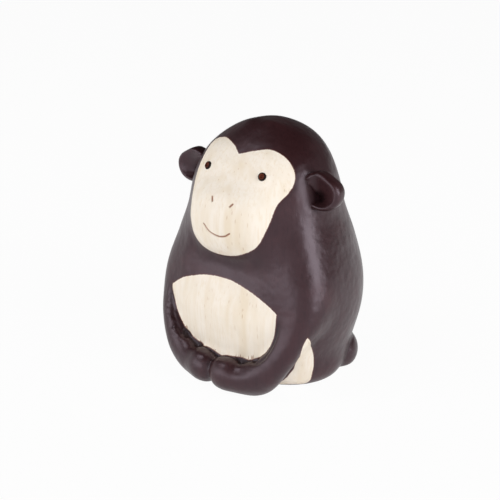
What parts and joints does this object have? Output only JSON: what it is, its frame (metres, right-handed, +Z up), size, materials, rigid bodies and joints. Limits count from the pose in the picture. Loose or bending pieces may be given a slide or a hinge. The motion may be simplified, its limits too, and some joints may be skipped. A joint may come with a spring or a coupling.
{
  "type": "monkey figurine",
  "caption": "Seated monkey ornament carved from one wood block, arms wrapped round the belly, with dowelled cup ears, pegged eyes and a flat foot to stand on.",
  "frame": {"origin": "middle of the flat foot, on the face that the figure stands on", "axes": "+Z up; the monkey's face looks along -Y; +X is the monkey's own left"},
  "size_m": [0.0468, 0.0476, 0.0601],
  "materials": {
    "stained_wood": "dark brown stain, satin, with bare pale wood on the face, the belly and the flanks",
    "bamboo": "bare, split and rounded",
    "eye_wood": "dark stained end grain, satin"
  },
  "bodies": {
    "root": {"body_block": "stained_wood", "ear_left": "stained_wood", "ear_right": "stained_wood", "ear_dowel_left": "bamboo", "ear_dowel_right": "bamboo", "eye_peg_left": "eye_wood", "eye_peg_right": "eye_wood"}
  },
  "joints": []
}
